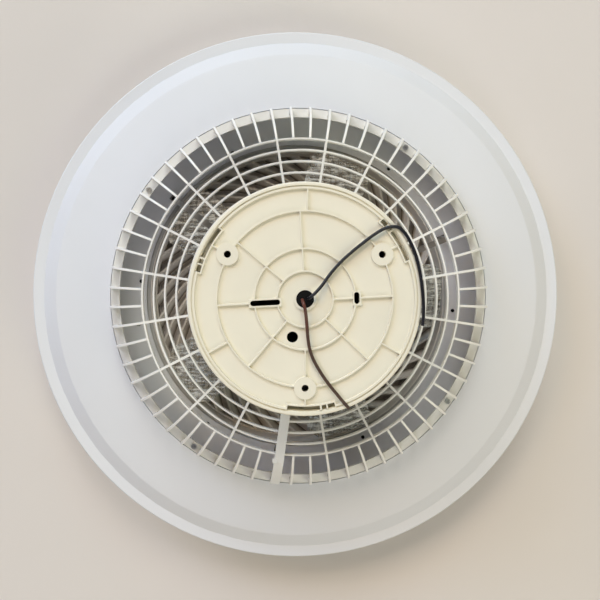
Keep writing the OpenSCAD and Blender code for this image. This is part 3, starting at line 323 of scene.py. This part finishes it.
def wire(name, route, material, node):
    """A round wire along its route, in place of the CAD node, and the points of its line."""
    points = curve_points(route)
    curve = bpy.data.curves.new(name, "CURVE")
    curve.dimensions = "3D"
    curve.bevel_depth = WIRE_R * MM
    curve.bevel_resolution = 6
    curve.use_fill_caps = True
    line = curve.splines.new("POLY")
    line.points.add(len(points) - 1)
    for target, point in zip(line.points, points):
        target.co = (*(point * MM), 1.0)
    line.use_smooth = True
    curve.materials.append(material)
    made = bpy.data.objects.new(name, curve)
    bpy.context.scene.collection.objects.link(made)
    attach(made, "ceiling")
    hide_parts(node)
    return made, points


def sleeve(name, colour, start=None, end=None):
    """Drawn insulation, which may change its colour towards either end of the wire."""
    m = Shader(name, colour, 0.46)
    if start:
        # The brown wire runs along Y, from its bush near 0 to its end at -0.092
        place = m.along("Y")
        m.tint(m.spread(place, 0.0, 1.0, -0.045, -0.008), start)
        m.tint(m.spread(place, 1.0, 0.0, -0.092, -0.08), end)
    m.tint(m.spread(m.noise(60, 3), 0.0, 1.0), shade(colour, 0.8))
    m.tint(m.spread(m.noise(400, 2), 0.0, 0.5, 0.6, 0.8), shade(colour, 1.5))
    m.bump(m.noise(900, 2), 0.015)
    return m.material


# Both routes in millimetres. LIE is the height of the line where a wire lies on the plate
LIE = WIRE_R + 0.1
NEUTRAL_ROUTE = [
    (2.3, 0.4, -1.4), (2.7, 0.6, 1.6), (4.6, 2, 4.6), (8.8, 5.8, 5), (14.5, 12.2, 2.6),
    (19.8, 19.6, LIE), (26.5, 27.6, LIE), (32.6, 33.8, LIE), (39, 39.4, LIE),
    (44.8, 44.2, LIE), (50.8, 48.8, LIE), (56.2, 52.9, LIE), (61.8, 56.6, LIE),
    (66.2, 58.9, LIE), (71.2, 60.4, LIE), (76.4, 60.6, LIE), (80.6, 58.4, LIE),
    (84.6, 54, LIE), (87.6, 49, LIE), (90.2, 43.6, LIE), (92.4, 38.2, LIE),
    (94.4, 31.4, LIE), (96, 24.4, LIE), (97.4, 16.8, LIE), (98.4, 8.8, LIE),
    (99.2, 0.6, LIE), (99.6, -7.4, LIE), (99.4, -15.2, LIE), (98.6, -22.6, LIE)]
LIVE_ROUTE = [
    (-2.3, -0.6, -1.4), (-2.2, -1.4, 1.4), (-1.4, -4.2, 4.2), (-0.2, -8.8, 4.6),
    (0.6, -14, 2.4), (1.2, -19.4, LIE), (1.6, -24.6, LIE), (2, -30, LIE),
    (2.6, -35.4, LIE), (3.6, -41, LIE), (5.2, -46.6, LIE), (7.6, -52.2, LIE),
    (10.6, -57.6, LIE), (14.4, -63.8, LIE), (18.6, -69.8, LIE), (22.6, -75, LIE),
    (26.6, -79.8, LIE), (30.2, -84.2, LIE), (33.6, -88.2, LIE), (36.8, -91.8, LIE)]


neutral, neutral_line = wire(
    "neutral_cord", NEUTRAL_ROUTE, sleeve("sleeve_blue", srgb(14, 15, 28)),
    "neutral_wire")
live, live_line = wire(
    "live_cord", LIVE_ROUTE,
    sleeve("sleeve_brown", srgb(84, 64, 54), srgb(116, 50, 36), srgb(132, 112, 94)),
    "live_wire")


# ---------------------------------------------------------------- node materials
def vane_plastic():
    """Light grille plastic, with painted shade low on the sides of the vanes to deepen the gaps
    between them, but not on the room's side.
    """
    light = srgb(244, 237, 227)
    m = moulded("vane_grey", light, 0.35, edge=0)
    height = m.along("Z")
    # Painted shade: the vanes' sides turn darker towards their feet, standing in for the shade
    # deep between them
    m.tint(m.spread(height, 1.0, 0.0, -0.1975, -0.1925), srgb(132, 121, 108))
    # The painted shade is lifted again below the vanes, and on every face that looks down into
    # the room
    m.tint(m.spread(height, 1.0, 0.0, -0.1986, -0.1981), light)
    m.tint(m.spread(m.along("Z", m.facing), 1.0, 0.0, -0.9, -0.6), light)
    return m


# One material for each slot. The colours of arm_black and gasket_black follow the photograph,
# where light falls on them, and not their names
MATERIALS = {
    "plate_cream": moulded("plate_cream", srgb(246, 240, 221), 0.42),
    "grommet_black": moulded("grommet_black", (0.004, 0.004, 0.004), 0.7,
                             Specular_IOR_Level=0.2),
    "drum_cream": moulded("drum_cream", srgb(240, 236, 224), 0.42),
    "arm_black": enamel("arm_black", srgb(128, 124, 120), 0.4),
    "screw_zinc": sheet_metal("screw_zinc", (0.78, 0.78, 0.78), 0.32),
    "cage_white": moulded("cage_white", srgb(247, 245, 239), 0.34),
    "channel_white": moulded("channel_white", srgb(238, 237, 232), 0.38),
    "lead_white": moulded("lead_white", srgb(226, 226, 226), 0.4, edge=0),
    "connector_white": moulded("connector_white", srgb(236, 236, 230), 0.4),
    "pan_white": enamel("pan_white", srgb(231, 232, 235), 0.6, Specular_IOR_Level=0.3),
    "tray_grey": enamel("tray_grey", srgb(247, 246, 248), 0.5),
    "gasket_black": moulded("gasket_black", srgb(205, 203, 200), 0.6, edge=0),
    "vane_grey": vane_plastic(),
    "cap_white": moulded("cap_white", srgb(238, 238, 240), 0.25),
    "board_white": moulded("board_white", srgb(238, 238, 235), 0.3),
    "chip_yellow": moulded("chip_yellow", srgb(244, 220, 110), 0.3),
    "keeper_zinc": sheet_metal("keeper_zinc", srgb(178, 180, 184), 0.35),
    "base_cast": sheet_metal("base_cast", srgb(190, 192, 196), 0.5),
    "bearing_steel": sheet_metal("bearing_steel", srgb(200, 200, 204), 0.15),
    "stack_steel": sheet_metal("stack_steel", srgb(130, 130, 134), 0.4),
    "winding_copper": sheet_metal("winding_copper", srgb(184, 104, 46), 0.3),
    "driver_white": moulded("driver_white", srgb(238, 238, 235), 0.45),
    "board_green": moulded("board_green", srgb(26, 98, 52), 0.25),
    "parts_black": moulded("parts_black", srgb(40, 40, 42), 0.4),
    "pillar_brass": sheet_metal("pillar_brass", srgb(200, 170, 90), 0.25),
    "receiver_white": moulded("receiver_white", srgb(230, 230, 230), 0.4),
    "terminal_grey": moulded("terminal_grey", srgb(205, 205, 200), 0.4),
    "shaft_steel": sheet_metal("shaft_steel", srgb(205, 205, 210), 0.15),
    "clip_black": sheet_metal("clip_black", srgb(64, 64, 66), 0.35),
    "bell_steel": sheet_metal("bell_steel", srgb(160, 162, 166), 0.3),
    "magnet_grey": enamel("magnet_grey", srgb(58, 58, 60), 0.5),
    "hub_white": moulded("hub_white", srgb(232, 232, 232), 0.35),
    "clamp_white": moulded("clamp_white", srgb(226, 226, 226), 0.35),
    "sleeve_blue": sleeve("wire_blue", srgb(28, 34, 84)),
    "sleeve_brown": sleeve("wire_brown", srgb(96, 58, 42)),
}
MATERIALS = {slot: getattr(made, "material", made) for slot, made in MATERIALS.items()}


def clear_plastic():
    """Glossy clear blades with crazed streaks."""
    m = Shader("blade_clear", srgb(255, 251, 242), 0.06, Transmission_Weight=0.74, IOR=1.46)
    m.tint(m.spread(m.noise(30, 3), 0.0, 0.5), srgb(228, 231, 229))
    m.gloss(m.spread(m.noise(160, 3), 0.03, 0.14))
    # The streaks are whitish and nearly opaque between the clear parts
    streaks = m.noise(60, 4, 0.65, m.stretched((1, 5, 1)))
    crossing = m.noise(80, 3, 0.6, m.stretched((5, 1, 1)))
    m.tint(m.spread(crossing, 0.0, 1.0, 0.52, 0.62), srgb(206, 200, 188))
    m.link(m.spread(streaks, 0.94, 0.1, 0.46, 0.6), m.bsdf.inputs["Transmission Weight"])
    m.bump(streaks, 3.4)
    m.bump(crossing, 2.0)
    return m.material


def opal_plastic():
    """Milky plastic of the lit cover."""
    m = Shader("cover_opal", srgb(244, 244, 241), 0.35, Subsurface_Weight=0.35,
               Subsurface_Scale=0.006, Transmission_Weight=0.08)
    m.tint(m.spread(m.noise(12, 3), 0.0, 1.0), srgb(240, 240, 236))
    m.gloss(m.spread(m.noise(120, 3), 0.3, 0.42))
    m.bump(m.noise(1500, 2), 0.01)
    return m.material


MATERIALS["blade_clear"] = clear_plastic()
MATERIALS["cover_opal"] = opal_plastic()
for entry in frame["record"]["subparts"]:
    node = frame["nodes"][entry["node"]]
    node.data.materials.clear()
    node.data.materials.append(MATERIALS[entry["material_slot"]])
# Painted shade: the small zinc screws down in the cage are coloured near-black, standing in for
# the shade they lie in
SHADED_SCREW = sheet_metal("screw_painted_shade", (0.03, 0.03, 0.03), 0.5).material
for name in ("duct_screws", "arm_screws"):
    frame["nodes"][name].data.materials[0] = SHADED_SCREW


# ---------------------------------------------------------------- softened nodes
# The widest rounding of each node's moulded or rolled edges, in millimetres. It is less where
# edges lie close together. mounting_plate and intake_grille stay CAD meshes, because their
# finest facets leave no room for it
SOFT_EDGES = {
    "canopy_drum": 0.5, "cage_ribs": 0.25, "cage_ledge": 0.3, "wire_channel": 0.3,
    "pan": 0.4, "support_spider": 0.3, "outlet_duct": 0.4, "outlet_grille": 0.3,
    "centre_cap": 0.5, "diffuser": 0.4, "fan_blade_1": 0.25, "fan_blade_2": 0.25,
    "fan_blade_3": 0.25, "fan_blade_4": 0.25, "fan_blade_5": 0.25, "blade_hub": 0.5,
    "blade_clamp": 0.4, "motor_base": 0.4, "rotor_bell": 0.4, "lead_connector": 0.3,
    "led_driver": 0.4, "signal_receiver": 0.3, "terminal_block": 0.3, "cable_grommet": 0.4,
    "led_tray": 0.2,
}
for entry in frame["record"]["subparts"]:
    node, slot = entry["node"], entry["material_slot"]
    if node in SOFT_EDGES:
        softened_copy("soft_" + node, node, MATERIALS[slot], frame["nodes"][node]["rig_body"],
                      SOFT_EDGES[node])

# The gasket: a flat ring, with a lip that falls in a soft curve towards the duct's neck
GASKET_OUT_R, GASKET_IN_R, GASKET_TOP, GASKET_BOTTOM = 173.1, 157.45, -167.25, -169.15
LIP_FOOT, LIP_LOW, LIP_WIDTH, LIP_RISE = -168.8, -168.4, 3.5, 3.2
LIP_TURNS = [math.radians(15 * t) for t in range(1, 7)]
GASKET_PROFILE = [
    (GASKET_OUT_R, GASKET_TOP), (GASKET_OUT_R, GASKET_BOTTOM), (GASKET_IN_R, GASKET_BOTTOM),
    (GASKET_IN_R, LIP_FOOT),
    *((GASKET_IN_R + LIP_WIDTH * math.sin(turn), LIP_LOW + LIP_RISE * (1 - math.cos(turn)))
      for turn in LIP_TURNS),
    (GASKET_IN_R + LIP_WIDTH, GASKET_TOP)]
lathe("soft_duct_ring", GASKET_PROFILE, MATERIALS["gasket_black"],
      frame["nodes"]["duct_ring"]["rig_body"], "duct_ring")


# ---------------------------------------------------------------- floor and light
# The floor lies just below the lamp's lowest face. All in millimetres
FLOOR_Z, FLOOR_R, FLOOR_SIDES = -203.05, 9500.0, 96
SWEEP_R, WALL_HEIGHT = 2500.0, 8000.0


def make_stage():
    """A round floor that sweeps up into a wall far outside the lights."""
    m = Shader("floor_plaster", srgb(227, 220, 214), 0.8)
    m.tint(m.spread(m.noise(2.2, 3), 0.0, 1.0), srgb(221, 214, 208))
    m.bump(m.noise(350, 3), 0.05)
    profile = [(FLOOR_R - SWEEP_R + SWEEP_R * math.sin(math.radians(t)),
                FLOOR_Z + SWEEP_R * (1 - math.cos(math.radians(t)))) for t in range(0, 91, 9)]
    profile.append((FLOOR_R, FLOOR_Z + WALL_HEIGHT))
    bm = bmesh.new()
    rows = [[bm.verts.new((r * math.cos(a), r * math.sin(a), z)) for r, z in profile]
            for a in (math.tau * k / FLOOR_SIDES for k in range(FLOOR_SIDES))]
    bm.faces.new([row[0] for row in rows])
    for k, row in enumerate(rows):
        after = rows[(k + 1) % len(rows)]
        for i in range(len(profile) - 1):
            bm.faces.new((row[i], row[i + 1], after[i + 1], after[i])).smooth = True
    bmesh.ops.recalc_face_normals(bm, faces=bm.faces)
    bmesh.ops.reverse_faces(bm, faces=bm.faces)
    mesh = bpy.data.meshes.new("floor")
    bm.to_mesh(mesh)
    bm.free()
    mesh.transform(Matrix.Scale(MM, 4))
    mesh.materials.append(m.material)
    floor = bpy.data.objects.new("floor", mesh)
    bpy.context.scene.collection.objects.link(floor)


LIGHT_DISTANCE, LIGHT_SIZE = 6.0, 2.4
LIGHT_TARGET = Vector((0, 0, -0.1))
WORLD_GREY = 0.012
# Name, height and direction in degrees, power in watts and colour of each soft light
LIGHTS = [
    ("window_left", 25, 135, 139, (0.40, 0.63, 1.0)),
    ("window_top", 25, 90, 60, (0.69, 0.98, 1.0)),
    ("key_top", 45, 90, 129, (1.0, 0.94, 0.88)),
    ("key_left", 45, 135, 97, (1.0, 0.77, 0.52)),
    ("fill_low", 25, 315, 72, (1.0, 0.86, 0.69)),
    ("fill_bottom", 45, 270, 69, (0.92, 0.92, 1.0)),
    ("fill_right", 45, 315, 47, (0.86, 1.0, 0.71)),
]


def make_light():
    """Soft lights all round, with a bluish window at the left, in an almost dark room."""
    world = bpy.data.worlds.new("studio")
    bpy.context.scene.world = world
    world.use_nodes = True
    background = world.node_tree.nodes["Background"]
    background.inputs["Color"].default_value = (WORLD_GREY, WORLD_GREY, WORLD_GREY, 1.0)
    for name, height, direction, power, colour in LIGHTS:
        up, turn = math.radians(height), math.radians(direction)
        data = bpy.data.lights.new(name, "AREA")
        data.shape = "SQUARE"
        data.size = LIGHT_SIZE
        data.energy = power
        data.color = colour
        light = bpy.data.objects.new(name, data)
        light.location = LIGHT_DISTANCE * Vector(
            (math.cos(up) * math.cos(turn), math.cos(up) * math.sin(turn), math.sin(up)))
        aim = LIGHT_TARGET - light.location
        light.rotation_euler = aim.to_track_quat("-Z", "Y").to_euler()
        bpy.context.scene.collection.objects.link(light)


make_stage()
make_light()
bpy.context.scene.view_settings.view_transform = "Standard"
